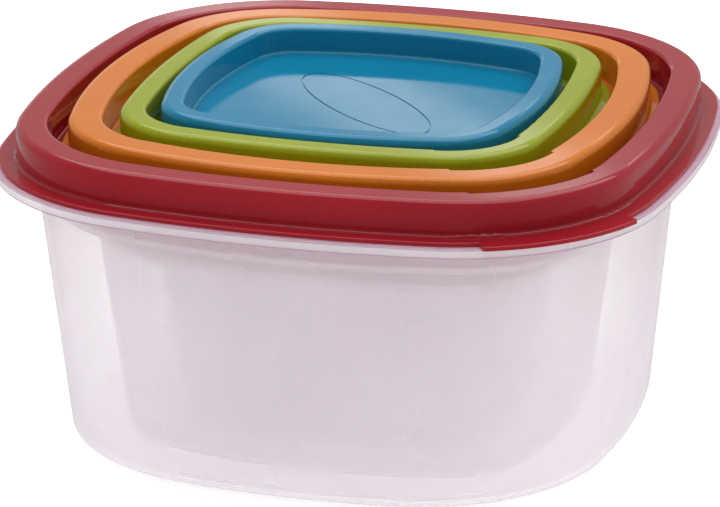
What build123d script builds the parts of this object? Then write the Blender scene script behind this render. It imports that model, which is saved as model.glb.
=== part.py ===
from build123d import *
import os
from dataclasses import dataclass
from math import cos, radians, sin

# A nested set of four food containers, each with its own snap lid. All sizes are in millimetres.
# The frame stands at the middle of the largest container's base, with +Z up.
# Every outline is a square with bowed sides and round corners, tangent all the way round. It is set
# by the distance from its middle to the middle of a side (half), its corner radius, and the bow,
# the angle in degrees through which half of one side turns. An offset changes the first two alike.

# Plastic thicknesses
TUB_WALL = 1.5
FLOOR = 1.6
LEDGE = 1.3
RIM_WALL = 1.3
LIP_WALL = 1.4
LID_PLATE = 1.3
RING_WALL = 1.4

# Room left between pieces that rest on each other
GAP = 0.3

# Lids: a raised hollow ring stands on a thin flange, round a sunken panel
RING_HEIGHT = 11.0
RING_OUTER_ROUND = 2.4
RING_INNER_ROUND = 1.3
FOOT_ROUND = 0.9
FLANGE_ROUND = 0.4

# One corner of each flange is wider, as a thumb tab, and the ring of the lid under it steps back
# there to make room for the thumb
TAB_CORNER = -45
TAB_ROUND = 1.0
RELIEF_HALF_ANGLE = 12.0
RELIEF_WALL_ANGLE = 1.0

# Snap beads on the container's lip and inside the lid's ring
BEAD = 0.6
BEAD_HEIGHT = 1.2
BEAD_CHAMFER = 0.4
LIP_BEAD_Z = 3.6
RING_BEAD_Z = 0.9

# Containers
LIP_HEIGHT = 6.8
BASE_ROUND = 3.0
FLOOR_ROUND = 3.0
SMALL_ROUND = 0.4
FOOT_WIDTH = 9.0
FOOT_DEPTH = 0.5
GATE_RADIUS = 2.5

# The smallest lid carries a fine oval groove along the diagonal of its panel
OVAL_LENGTH = 75.0
OVAL_WIDTH = 25.0
GROOVE_WIDTH = 0.6
GROOVE_DEPTH = 0.3

# Longer than any outline reaches from the Z axis, and closer than any two edges lie
REACH = 250.0
MATCH = 0.04


@dataclass
class Size:
    """One container and its lid. The corner radius is that of the ring's outer edge. The smallest
    lid has nothing to hold, so its panel stands higher in its ring."""

    tub: str
    lid: str
    bow: float
    corner: float
    ring_half: float
    ring_width: float
    flange: float
    tab: float
    tab_half_angle: float
    relief: float
    lip_inset: float
    wall_top: float
    wall_base: float
    base_corner: float
    height: float
    rim_proud: float
    rim_drop: float
    panel_rise: float


LARGE = Size(
    tub="large_container", lid="red_lid", bow=8.3, corner=60.0,
    ring_half=104.2, ring_width=10.3, flange=5.8, tab=4.2, tab_half_angle=12.5,
    relief=2.4, lip_inset=4.3, wall_top=98.6, wall_base=91.5, base_corner=64.0,
    height=93.7, rim_proud=1.6, rim_drop=3.2, panel_rise=0.0,
)
MEDIUM = Size(
    tub="medium_container", lid="orange_lid", bow=14.3, corner=41.6,
    ring_half=89.6, ring_width=11.2, flange=2.9, tab=2.6, tab_half_angle=10.8,
    relief=2.4, lip_inset=4.6, wall_top=82.0, wall_base=72.5, base_corner=31.0,
    height=79.1, rim_proud=1.3, rim_drop=2.4, panel_rise=0.0,
)
SMALL = Size(
    tub="small_container", lid="green_lid", bow=7.6, corner=31.0,
    ring_half=71.5, ring_width=8.5, flange=3.0, tab=2.6, tab_half_angle=10.8,
    relief=1.8, lip_inset=3.3, wall_top=61.4, wall_base=53.4, base_corner=27.0,
    height=65.6, rim_proud=1.0, rim_drop=2.4, panel_rise=0.0,
)
MINI = Size(
    tub="mini_container", lid="blue_lid", bow=14.3, corner=22.0,
    ring_half=61.2, ring_width=7.7, flange=1.0, tab=1.4, tab_half_angle=10.8,
    relief=0.0, lip_inset=3.0, wall_top=49.2, wall_base=43.0, base_corner=18.0,
    height=54.1, rim_proud=1.1, rim_drop=2.4, panel_rise=2.5,
)
SIZES = [LARGE, MEDIUM, SMALL, MINI]


def outline(half, corner, bow):
    """The face of one rounded square, centred on the Z axis."""
    slope = cos(radians(bow)) - sin(radians(bow))
    side = (half - slope * corner) / (1 - slope)
    side_centre = half - side
    corner_centre = (side - corner) * sin(radians(bow))

    def on_side(angle):
        return Vector(side_centre + side * cos(radians(angle)), side * sin(radians(angle)))

    def on_corner(angle):
        x = corner_centre + corner * cos(radians(angle))
        y = corner_centre + corner * sin(radians(angle))
        return Vector(x, y)

    with BuildSketch() as face:
        with BuildLine():
            for turn in (0, 90, 180, 270):
                side_points = [on_side(angle).rotate(Axis.Z, turn) for angle in (-bow, 0, bow)]
                corner_points = [
                    on_corner(angle).rotate(Axis.Z, turn) for angle in (bow, 45, 90 - bow)
                ]
                ThreePointArc(*side_points)
                ThreePointArc(*corner_points)
        make_face()
    return face.sketch


def lid_outline(size, offset):
    """The size's lid outline, offset outwards from the outer edge of its ring."""
    return outline(size.ring_half + offset, size.corner + offset, size.bow)


def wall_outline(size, height, inset):
    """The container's wall outline at a height above its base, moved inwards by inset."""
    up = height / size.height
    top_corner = size.corner - (size.ring_half - size.wall_top)
    half = size.wall_base + (size.wall_top - size.wall_base) * up
    corner = size.base_corner + (top_corner - size.base_corner) * up
    return outline(half - inset, corner - inset, size.bow)


def tab_sector(profile, half_angle):
    """The piece of a profile that lies at the tab's corner."""
    edges = [TAB_CORNER - half_angle, TAB_CORNER + half_angle]
    with BuildSketch() as sector:
        add(profile)
        with BuildLine():
            Polyline((0, 0), *[Vector(REACH, 0).rotate(Axis.Z, angle) for angle in edges], close=True)
        make_face(mode=Mode.INTERSECT)
    return sector.sketch


def flange_outline(size):
    """The lid's flange with its thumb tab."""
    tab = tab_sector(lid_outline(size, size.flange + size.tab), size.tab_half_angle)
    by_spread = tab.vertices().sort_by(
        lambda vertex: abs(Vector(vertex).rotate(Axis.Z, -TAB_CORNER).Y)
    )
    tips = [Vector(vertex) for vertex in by_spread[-2:]]
    with BuildSketch() as face:
        add(lid_outline(size, size.flange))
        add(tab)
        outer = [
            vertex for vertex in face.vertices()
            if min((Vector(vertex) - tip).length for tip in tips) < SMALL_ROUND
        ]
        fillet(outer, radius=min(TAB_ROUND, size.tab / 2))
    return face.sketch


def loop(part, profile, z):
    """The part's edges that lie on a profile at height z."""
    middles = [edge @ 0.5 + Vector(0, 0, z) for edge in profile.edges()]
    return [
        edge for edge in part.edges()
        if any((edge @ 0.5 - middle).length < MATCH for middle in middles)
    ]


def make_tub(size, base):
    """A tapered container with a rim, and a lip that stands up inside the lid's ring."""
    ledge = base + size.height
    under_rim = ledge - size.rim_drop
    rim_offset = size.flange + size.rim_proud
    floor_profile = wall_outline(size, FLOOR, TUB_WALL)
    foot_profile = wall_outline(size, 0, BASE_ROUND + FOOT_WIDTH)
    with BuildPart() as tub:
        with BuildSketch(Plane.XY.offset(base)):
            add(wall_outline(size, 0, 0))
        with BuildSketch(Plane.XY.offset(ledge)):
            add(wall_outline(size, size.height, 0))
        loft(ruled=True)
        fillet(tub.edges().group_by(Axis.Z)[0], radius=BASE_ROUND)
        # rim: a ledge with its edge turned down
        with BuildSketch(Plane.XY.offset(under_rim)):
            add(lid_outline(size, rim_offset))
        extrude(amount=size.rim_drop)
        fillet(loop(tub, lid_outline(size, rim_offset), ledge), radius=SMALL_ROUND)
        fillet(loop(tub, lid_outline(size, rim_offset), under_rim), radius=SMALL_ROUND)
        with BuildSketch(Plane.XY.offset(under_rim)):
            add(lid_outline(size, rim_offset - RIM_WALL))
            add(wall_outline(size, size.height, 0), mode=Mode.SUBTRACT)
        extrude(amount=size.rim_drop - LEDGE, mode=Mode.SUBTRACT)
        # lip and its snap bead
        with BuildSketch(Plane.XY.offset(ledge)):
            add(lid_outline(size, -size.lip_inset))
        extrude(amount=LIP_HEIGHT)
        with BuildSketch(Plane.XY.offset(ledge + LIP_BEAD_Z)):
            add(lid_outline(size, BEAD - size.lip_inset))
        extrude(amount=BEAD_HEIGHT)
        for z in (ledge + LIP_BEAD_Z, ledge + LIP_BEAD_Z + BEAD_HEIGHT):
            chamfer(loop(tub, lid_outline(size, BEAD - size.lip_inset), z), length=BEAD_CHAMFER)
        with BuildSketch(Plane.XY.offset(ledge)):
            add(lid_outline(size, -size.lip_inset - LIP_WALL))
        extrude(amount=LIP_HEIGHT, mode=Mode.SUBTRACT)
        fillet(tub.edges().group_by(Axis.Z)[-1], radius=SMALL_ROUND)
        # inside
        with BuildSketch(Plane.XY.offset(base + FLOOR)):
            add(floor_profile)
        with BuildSketch(Plane.XY.offset(ledge)):
            add(wall_outline(size, size.height, TUB_WALL))
        loft(ruled=True, mode=Mode.SUBTRACT)
        fillet(loop(tub, floor_profile, base + FLOOR), radius=FLOOR_ROUND)
        # foot ring, with the moulding gate in the middle of the recess
        with BuildSketch(Plane.XY.offset(base)):
            add(foot_profile)
        extrude(amount=FOOT_DEPTH, mode=Mode.SUBTRACT)
        with BuildSketch(Plane.XY.offset(base + FOOT_DEPTH / 2)):
            Circle(GATE_RADIUS)
        extrude(amount=FOOT_DEPTH)
    tub.part.label = size.tub
    return tub.part


def make_lid(size, base):
    """A one-piece lid, upside-down channel all round, with a sunken panel and a thumb tab."""
    flange_top = base + LID_PLATE
    panel = flange_top + size.panel_rise
    top = flange_top + RING_HEIGHT
    inner = -size.ring_width
    with BuildPart() as lid:
        with BuildSketch(Plane.XY.offset(base)):
            add(flange_outline(size))
        extrude(amount=LID_PLATE)
        fillet(lid.edges().group_by(Axis.Z)[-1], radius=FLANGE_ROUND)
        # ring
        with BuildSketch(Plane.XY.offset(flange_top)):
            add(lid_outline(size, 0))
        extrude(amount=RING_HEIGHT)
        fillet(loop(lid, lid_outline(size, 0), top), radius=RING_OUTER_ROUND)
        fillet(loop(lid, lid_outline(size, 0), flange_top), radius=min(FOOT_ROUND, size.flange / 2))
        # panel
        with BuildSketch(Plane.XY.offset(panel)):
            add(lid_outline(size, inner))
        extrude(amount=top - panel, mode=Mode.SUBTRACT)
        if size.panel_rise:
            with BuildSketch(Plane.XY.offset(base)):
                add(lid_outline(size, inner))
            extrude(amount=size.panel_rise, mode=Mode.SUBTRACT)
        fillet(loop(lid, lid_outline(size, inner), top), radius=RING_INNER_ROUND)
        fillet(loop(lid, lid_outline(size, inner), panel), radius=FOOT_ROUND)
        # channel for the container's lip
        with BuildSketch(Plane.XY.offset(base)):
            add(lid_outline(size, -RING_WALL))
            add(lid_outline(size, inner + RING_WALL), mode=Mode.SUBTRACT)
            if size.relief:
                bulge = lid_outline(size, inner + RING_WALL + size.relief)
                add(tab_sector(bulge, RELIEF_HALF_ANGLE + RELIEF_WALL_ANGLE), mode=Mode.SUBTRACT)
        extrude(amount=LID_PLATE + RING_HEIGHT - RING_WALL, mode=Mode.SUBTRACT)
        # snap bead on the channel's outer wall
        with BuildSketch(Plane.XY.offset(base + RING_BEAD_Z)):
            add(lid_outline(size, -RING_WALL))
            add(lid_outline(size, -RING_WALL - BEAD), mode=Mode.SUBTRACT)
        extrude(amount=BEAD_HEIGHT)
        # step in the ring behind the tab of the lid that nests inside
        if size.relief:
            with BuildSketch(Plane.XY.offset(panel)):
                add(tab_sector(lid_outline(size, inner + size.relief), RELIEF_HALF_ANGLE))
            extrude(amount=top - panel, mode=Mode.SUBTRACT)
        if size is MINI:
            with BuildSketch(Plane.XY.offset(panel)):
                Ellipse(OVAL_LENGTH / 2, OVAL_WIDTH / 2, rotation=TAB_CORNER)
                Ellipse(
                    OVAL_LENGTH / 2 - GROOVE_WIDTH, OVAL_WIDTH / 2 - GROOVE_WIDTH,
                    rotation=TAB_CORNER, mode=Mode.SUBTRACT,
                )
            extrude(amount=-GROOVE_DEPTH, mode=Mode.SUBTRACT)
    lid.part.label = size.lid
    return lid.part


# The three larger containers stand on each other's floors. The smallest hangs by its rim from the
# ledge inside the next one's lip.
medium_base = FLOOR + GAP
small_base = medium_base + FLOOR + GAP
mini_base = small_base + SMALL.height + GAP + MINI.rim_drop - MINI.height
tub_bases = [0.0, medium_base, small_base, mini_base]

# The largest lid sits on its container's ledge, and each smaller lid lies on the panel below it.
lid_bases = [LARGE.height + GAP + step * (LID_PLATE + GAP) for step in range(len(SIZES))]

os.makedirs("parts", exist_ok=True)
for size, tub_base, lid_base in zip(SIZES, tub_bases, lid_bases):
    for piece in (make_tub(size, tub_base), make_lid(size, lid_base)):
        export_step(piece, f"parts/{piece.label}.step")
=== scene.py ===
import math

import bpy
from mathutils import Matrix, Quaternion, Vector


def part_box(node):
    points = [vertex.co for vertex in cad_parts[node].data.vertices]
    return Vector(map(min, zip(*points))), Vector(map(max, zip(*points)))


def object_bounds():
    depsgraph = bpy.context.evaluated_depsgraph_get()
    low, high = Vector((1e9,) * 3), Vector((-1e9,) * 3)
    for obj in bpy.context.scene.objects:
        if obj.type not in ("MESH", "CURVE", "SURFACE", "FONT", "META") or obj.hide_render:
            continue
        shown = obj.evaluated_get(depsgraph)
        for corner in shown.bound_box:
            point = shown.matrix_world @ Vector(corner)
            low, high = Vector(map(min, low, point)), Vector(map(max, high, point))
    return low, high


# A nested set of four food containers with snap lids, in metres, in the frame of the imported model.
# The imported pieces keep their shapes. This script gives them their finishes, a stage, lights and
# a camera.
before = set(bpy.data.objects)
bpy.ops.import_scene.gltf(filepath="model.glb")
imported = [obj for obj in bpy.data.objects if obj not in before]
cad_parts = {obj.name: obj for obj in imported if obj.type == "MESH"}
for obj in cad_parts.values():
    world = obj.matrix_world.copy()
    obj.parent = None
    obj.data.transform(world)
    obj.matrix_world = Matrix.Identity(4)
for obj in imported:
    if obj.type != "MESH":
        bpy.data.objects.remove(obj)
cad_low, cad_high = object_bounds()

# Camera: a long lens, a little above the lids and to the right of the front. Angles are in degrees
CAMERA_PLACE = (0.3548, -1.2162, 0.4984)
CAMERA_HEADING = 16.34
CAMERA_DIP = 19.46
CAMERA_LENS = 204.11
CAMERA_SENSOR = 36.0
CAMERA_RANGE = (0.05, 50.0)

# Brightness of the room, as it lights matt surfaces and as it is mirrored, in front of the set
# and behind it. The table under the set is lit from below
FRONT_GLOW = 0.72
BACK_GLOW = 0.95
FRONT_MIRRORED = 0.22
BACK_MIRRORED = 0.52
ROOM_EDGE = 0.6
TABLE_GLOW = 0.36

# The light table's top: half its width, its distance below the base, and its finish
TABLE_HALF = 6.0
TABLE_GAP = 0.0002
TABLE_COLOUR = (0.93, 0.93, 0.935, 1.0)
TABLE_ROUGHNESS = 0.8
TABLE_SPECULAR = 0.1

# Lights: place, point that it faces, width, height, radiance, and turn in its own plane in degrees
SOFTBOXES = {
    "top_softbox": ((0.0, 0.35, 1.6), (0, 0, 0.05), 2.4, 2.4, 1.65, 0.0),
    "back_strip": ((-0.336, 1.152, 0.473), (0, 0, 0.10), 1.6, 0.048, 0.85, -29.0),
}

# Moulded polypropylene: refraction, and the size and depth of its grain and of its sink marks
PLASTIC_IOR = 1.49
GRAIN_SCALE = 1500.0
SINK_SCALE = 28.0
LID_GRAIN = 0.000003
LID_WAVINESS = 0.00002
TUB_GRAIN = 0.000001
TUB_WAVINESS = 0.00008

# Noise scales of both plastics' slow clouds and worn patches, and of the lids' specks
LID_CLOUD_SCALE = 16.0
LID_WEAR_SCALE = 60.0
LID_SPECK_SCALE = 1400.0
TUB_CLOUD_SCALE = 22.0
TUB_WEAR_SCALE = 80.0
WEAR_DETAIL = 4.0
WEAR_BREAKUP = 0.6

# Lids: how dark and light the clouds are, how dark and strong the specks are, and the smoothest
# and roughest places
LID_CLOUD_SHADES = (0.95, 1.05)
LID_SPECK_SHADE = 0.6
LID_SPECK_STRENGTH = 0.3
LID_ROUGHNESS = (0.05, 0.10)
LID_COLOURS = {
    "red_lid": (0.31, 0.010, 0.019),
    "orange_lid": (0.62, 0.170, 0.008),
    "green_lid": (0.28, 0.33, 0.006),
    "blue_lid": (0.006, 0.19, 0.34),
}

# Each container's colour, its haze, how far its rim's edge turns down, and how strong the painted shade on
# its rim is
# The three inner containers' colours are a little darker than the large one's, as painted shade of their
# lying nested inside it
TUBS = {
    "large_container": ((0.985, 0.968, 0.985), 0.22, 0.0032, 1.0),
    "medium_container": ((0.975, 0.940, 0.970), 0.24, 0.0024, 0.4),
    "small_container": ((0.970, 0.930, 0.963), 0.28, 0.0024, 0.4),
    "mini_container": ((0.970, 0.930, 0.963), 0.28, 0.0024, 0.4),
}
TUB_CLOUD_SHADES = (0.985, 1.01)
TUB_ROUGHNESS = (0.14, 0.24)
HAZE_VARIATION = 0.02

# The smallest slant at which a container's wall is looked through, as the sine of the angle
THINNEST_SLANT = 0.12

# Height of a container's lip above its rim's ledge, how far the rim's painted shade runs into the wall and
# past the rim, and the rim's painted shade colours, added haze and soft edges
LIP_HEIGHT = 0.0068
PAINTED_SHADE_INWARD = 0.0004
PAINTED_SHADE_OUTWARD = 0.0001
# Painted shade: the pink shading of the ledge under the lid's flange
LEDGE_PAINTED_SHADE = (0.58, 0.36, 0.46, 1.0)
# Painted shade: a dark line along the rim's turned-down edge
RIM_EDGE_PAINTED_SHADE = (0.55, 0.40, 0.50, 1.0)
RIM_HAZE = 0.25
RIM_BLUR = 0.0003

# Light paths: enough of them to see through both sides of all four containers
TRANSPARENT_BOUNCES = 32
DIFFUSE_BOUNCES = 10
ALL_BOUNCES = 16


class Nodes:
    """A material's or world's node tree, with short ways to add and join nodes."""

    def __init__(self, owner):
        owner.use_nodes = True
        self.tree = owner.node_tree
        self.tree.nodes.clear()

    def join(self, socket, value):
        """Feeds an input from another node's output, or sets it to a value."""
        if isinstance(value, bpy.types.NodeSocket):
            self.tree.links.new(value, socket)
        else:
            socket.default_value = value

    def add(self, kind, **inputs):
        """A node and its inputs, where an underscore stands for a space in an input's name."""
        node = self.tree.nodes.new(kind)
        for name, value in inputs.items():
            self.join(node.inputs[name.replace("_", " ")], value)
        return node

    def maths(self, operation, a, b):
        node = self.tree.nodes.new("ShaderNodeMath")
        node.operation = operation
        self.join(node.inputs[0], a)
        self.join(node.inputs[1], b)
        return node.outputs[0]

    def span(self, value, low, high, to_low, to_high):
        """A value taken from one range to another, held at both ends."""
        node = self.add(
            "ShaderNodeMapRange", Value=value, From_Min=low, From_Max=high, To_Min=to_low, To_Max=to_high
        )
        return node.outputs[0]

    def band(self, value, low, high):
        """1 between two heights and 0 outside them, with soft edges."""
        rise = self.span(value, low - RIM_BLUR, low, 0.0, 1.0)
        fall = self.span(value, high, high + RIM_BLUR, 1.0, 0.0)
        return self.maths("MULTIPLY", rise, fall)

    def blend(self, factor, a, b):
        """A mix of two colours. The node's inputs 0, 6 and 7 are the factor and the two colours."""
        node = self.tree.nodes.new("ShaderNodeMix")
        node.data_type = "RGBA"
        self.join(node.inputs[0], factor)
        self.join(node.inputs[6], a)
        self.join(node.inputs[7], b)
        return node.outputs[2]

    def mix(self, factor, a, b):
        """A mix of two shaders."""
        node = self.tree.nodes.new("ShaderNodeMixShader")
        self.join(node.inputs[0], factor)
        self.join(node.inputs[1], a)
        self.join(node.inputs[2], b)
        return node.outputs[0]

    def noise(self, place, scale, detail, roughness=0.5):
        node = self.add("ShaderNodeTexNoise", Vector=place, Scale=scale, Detail=detail, Roughness=roughness)
        return node.outputs["Fac"]

    def relief(self, place, grain, waviness):
        """Surface relief of a moulded part: fine spark-eroded grain and slow sink marks."""
        fine = self.noise(place, GRAIN_SCALE, 2.0)
        slow = self.noise(place, SINK_SCALE, 1.0)
        sinks = self.add("ShaderNodeBump", Strength=1.0, Distance=waviness, Height=slow)
        both = self.add(
            "ShaderNodeBump", Strength=1.0, Distance=grain, Height=fine, Normal=sinks.outputs[0]
        )
        return both.outputs[0]


def shade(colour, factor):
    """A colour made lighter or darker, as a node's four numbers."""
    return tuple(min(1.0, part * factor) for part in colour) + (1.0,)


def lid_plastic(name, colour):
    """Satin moulded polypropylene, slightly cloudy and finely speckled."""
    material = bpy.data.materials.new(name)
    n = Nodes(material)
    place = n.add("ShaderNodeTexCoord").outputs["Object"]
    clouds = n.span(n.noise(place, LID_CLOUD_SCALE, 3.0), 0.35, 0.65, 0.0, 1.0)
    specks = n.span(n.noise(place, LID_SPECK_SCALE, 2.0), 0.4, 0.65, 0.0, LID_SPECK_STRENGTH)
    dark, light = LID_CLOUD_SHADES
    tone = n.blend(clouds, shade(colour, dark), shade(colour, light))
    wear = n.noise(place, LID_WEAR_SCALE, WEAR_DETAIL, WEAR_BREAKUP)
    plastic = n.add(
        "ShaderNodeBsdfPrincipled",
        IOR=PLASTIC_IOR,
        Base_Color=n.blend(specks, tone, shade(colour, LID_SPECK_SHADE)),
        Roughness=n.span(wear, 0.3, 0.7, *LID_ROUGHNESS),
        Normal=n.relief(place, LID_GRAIN, LID_WAVINESS),
    )
    n.add("ShaderNodeOutputMaterial", Surface=plastic.outputs[0])
    return material


def tub_plastic(name, colour, haze, rim_shade_strength, ledge, rim_low):
    """Frosted clear polypropylene: some light passes straight through, the rest is scattered both
    ways. A wall seen at a slant is thicker to look through, so it hides more. The rim's ledge and
    its turned-down edge are thicker still and hide more. The ledge carries a pink painted shade
    for its shading under the lid's flange, and the edge carries a painted dark line."""
    material = bpy.data.materials.new(name)
    n = Nodes(material)
    place = n.add("ShaderNodeTexCoord").outputs["Object"]
    height = n.add("ShaderNodeSeparateXYZ", Vector=place).outputs["Z"]
    clouds = n.noise(place, TUB_CLOUD_SCALE, 3.0)
    wear = n.noise(place, TUB_WEAR_SCALE, WEAR_DETAIL, WEAR_BREAKUP)

    dark, light = TUB_CLOUD_SHADES
    tone = n.blend(n.span(clouds, 0.35, 0.65, 0.0, 1.0), shade(colour, dark), shade(colour, light))
    # Painted shade: the ledge is darkened to pink as if shaded by the lid's flange, and the rim's
    # turned-down edge gets a painted dark line. Both are scaled by the container's share.
    shaded_ledge_mask = n.band(height, ledge - PAINTED_SHADE_INWARD, ledge + PAINTED_SHADE_OUTWARD)
    tone = n.blend(n.maths("MULTIPLY", shaded_ledge_mask, rim_shade_strength), tone, LEDGE_PAINTED_SHADE)
    shaded_edge_mask = n.band(height, rim_low - PAINTED_SHADE_OUTWARD, rim_low + PAINTED_SHADE_INWARD)
    tone = n.blend(n.maths("MULTIPLY", shaded_edge_mask, rim_shade_strength), tone, RIM_EDGE_PAINTED_SHADE)

    plastic = n.add(
        "ShaderNodeBsdfPrincipled",
        IOR=PLASTIC_IOR,
        Base_Color=tone,
        Roughness=n.span(wear, 0.3, 0.7, *TUB_ROUGHNESS),
        Normal=n.relief(place, TUB_GRAIN, TUB_WAVINESS),
    )
    behind = n.add("ShaderNodeBsdfTranslucent", Color=tone)
    scattered = n.mix(0.5, plastic.outputs[0], behind.outputs[0])
    clear = n.add("ShaderNodeBsdfTransparent", Color=(1.0, 1.0, 1.0, 1.0))

    cloudy = n.span(clouds, 0.3, 0.7, haze - HAZE_VARIATION, haze + HAZE_VARIATION)
    cloudy = n.maths("ADD", cloudy, n.maths("MULTIPLY", n.band(height, rim_low, ledge), RIM_HAZE))
    slant = n.maths("SUBTRACT", 1.0, n.add("ShaderNodeLayerWeight", Blend=0.5).outputs["Facing"])
    way_through = n.maths("DIVIDE", 1.0, n.maths("MAXIMUM", slant, THINNEST_SLANT))
    clearness = n.maths("POWER", n.maths("SUBTRACT", 1.0, cloudy), way_through)
    surface = n.mix(n.maths("SUBTRACT", 1.0, clearness), clear.outputs[0], scattered)
    n.add("ShaderNodeOutputMaterial", Surface=surface)
    return material


def paint(node, material):
    """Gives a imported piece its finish."""
    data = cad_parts[node].data
    data.materials.clear()
    data.materials.append(material)


def add_to_scene(name, data):
    """An object of the scene's own, which is no part of the set."""
    thing = bpy.data.objects.new(name, data)
    bpy.context.scene.collection.objects.link(thing)
    return thing


def add_camera():
    data = bpy.data.cameras.new("camera")
    data.lens = CAMERA_LENS
    data.sensor_width = CAMERA_SENSOR
    data.clip_start, data.clip_end = CAMERA_RANGE
    camera = add_to_scene("camera", data)
    camera.location = CAMERA_PLACE
    camera.rotation_euler = (math.radians(90 - CAMERA_DIP), 0.0, math.radians(CAMERA_HEADING))
    bpy.context.scene.camera = camera


def add_table(height):
    """A wide pale light table. It lights the set, but the set doesn't mirror it."""
    mesh = bpy.data.meshes.new("floor")
    corners = [(-1, -1), (1, -1), (1, 1), (-1, 1)]
    points = [(x * TABLE_HALF, y * TABLE_HALF, height) for x, y in corners]
    mesh.from_pydata(points, [], [(0, 1, 2, 3)])
    material = bpy.data.materials.new("floor_paper")
    n = Nodes(material)
    top = n.add(
        "ShaderNodeBsdfPrincipled",
        Base_Color=TABLE_COLOUR,
        Roughness=TABLE_ROUGHNESS,
        Specular_IOR_Level=TABLE_SPECULAR,
        Emission_Color=(1.0, 1.0, 1.0, 1.0),
        Emission_Strength=TABLE_GLOW,
    )
    n.add("ShaderNodeOutputMaterial", Surface=top.outputs[0])
    mesh.materials.append(material)
    floor = add_to_scene("floor", mesh)
    floor.visible_glossy = False


def add_room():
    """A plain room, brighter behind the set than in front of it, with a darker one mirrored in it."""
    world = bpy.data.worlds.new("room")
    n = Nodes(world)
    way = n.add("ShaderNodeTexCoord").outputs["Generated"]
    depth = n.add("ShaderNodeSeparateXYZ", Vector=way).outputs["Y"]
    lit = n.span(depth, -ROOM_EDGE, ROOM_EDGE, FRONT_GLOW, BACK_GLOW)
    mirrored = n.span(depth, -ROOM_EDGE, ROOM_EDGE, FRONT_MIRRORED, BACK_MIRRORED)
    is_mirrored = n.add("ShaderNodeLightPath").outputs["Is Glossy Ray"]
    change = n.maths("MULTIPLY", is_mirrored, n.maths("SUBTRACT", mirrored, lit))
    background = n.add("ShaderNodeBackground", Strength=n.maths("ADD", lit, change))
    n.add("ShaderNodeOutputWorld", Surface=background.outputs[0])
    bpy.context.scene.world = world


def add_softbox(name, place, aim, width, height, radiance, turn):
    """A rectangular area light of a given brightness, facing a point."""
    data = bpy.data.lights.new(name, "AREA")
    data.shape = "RECTANGLE"
    data.size = width
    data.size_y = height
    data.energy = radiance * width * height * math.pi
    light = add_to_scene(name, data)
    light.location = place
    light.visible_camera = False
    facing = (Vector(aim) - Vector(place)).to_track_quat("-Z", "Y")
    light.rotation_euler = (facing @ Quaternion((0, 0, 1), math.radians(turn))).to_euler()


for node, colour in LID_COLOURS.items():
    paint(node, lid_plastic(node + "_plastic", colour))
for node, (colour, haze, rim_drop, rim_shade_strength) in TUBS.items():
    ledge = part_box(node)[1].z - LIP_HEIGHT
    paint(node, tub_plastic(node + "_plastic", colour, haze, rim_shade_strength, ledge, ledge - rim_drop))

add_camera()
add_table(cad_low.z - TABLE_GAP)
add_room()
for name, settings in SOFTBOXES.items():
    add_softbox(name, *settings)

scene = bpy.context.scene
scene.view_settings.view_transform = "Standard"
scene.cycles.transparent_max_bounces = TRANSPARENT_BOUNCES
scene.cycles.diffuse_bounces = DIFFUSE_BOUNCES
scene.cycles.max_bounces = ALL_BOUNCES
